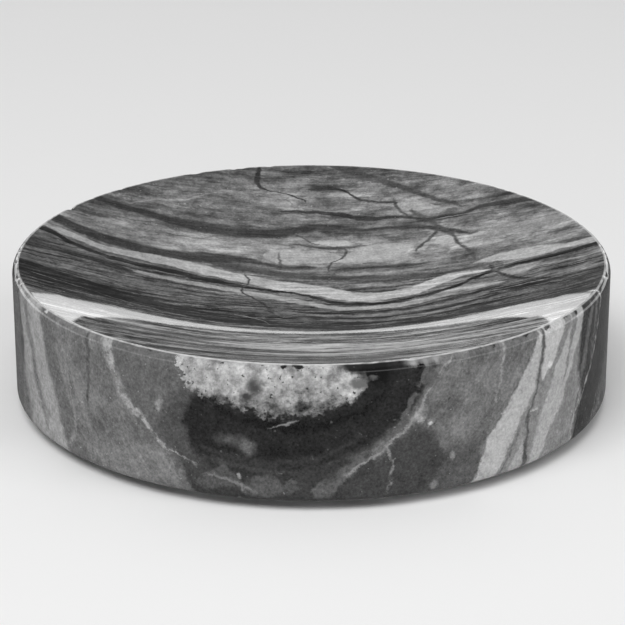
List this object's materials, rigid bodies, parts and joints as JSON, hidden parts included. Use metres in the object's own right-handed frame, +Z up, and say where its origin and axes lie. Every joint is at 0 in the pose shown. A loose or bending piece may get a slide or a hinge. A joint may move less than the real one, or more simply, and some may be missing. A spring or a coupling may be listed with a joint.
{
  "type": "soap dish",
  "caption": "Round polished stone dish for a bar or puck of soap, with a shallow concave top, a rounded rim and soft non-slip pads underneath.",
  "frame": {"origin": "on the surface the dish stands on, below its centre, at the undersides of the pads", "axes": "+Z up, along the dish's round axis; the pads stand on the diagonals between +X and +Y"},
  "size_m": [0.11, 0.11, 0.0268],
  "materials": {
    "marble": "polished",
    "pad_rubber": "matte",
    "film": "satin"
  },
  "bodies": {
    "root": {"stone_dish": "marble", "pad_1": "pad_rubber", "pad_2": "pad_rubber", "pad_3": "pad_rubber", "pad_4": "pad_rubber", "adhesive_film_1": "film", "adhesive_film_2": "film", "adhesive_film_3": "film", "adhesive_film_4": "film"}
  },
  "joints": []
}
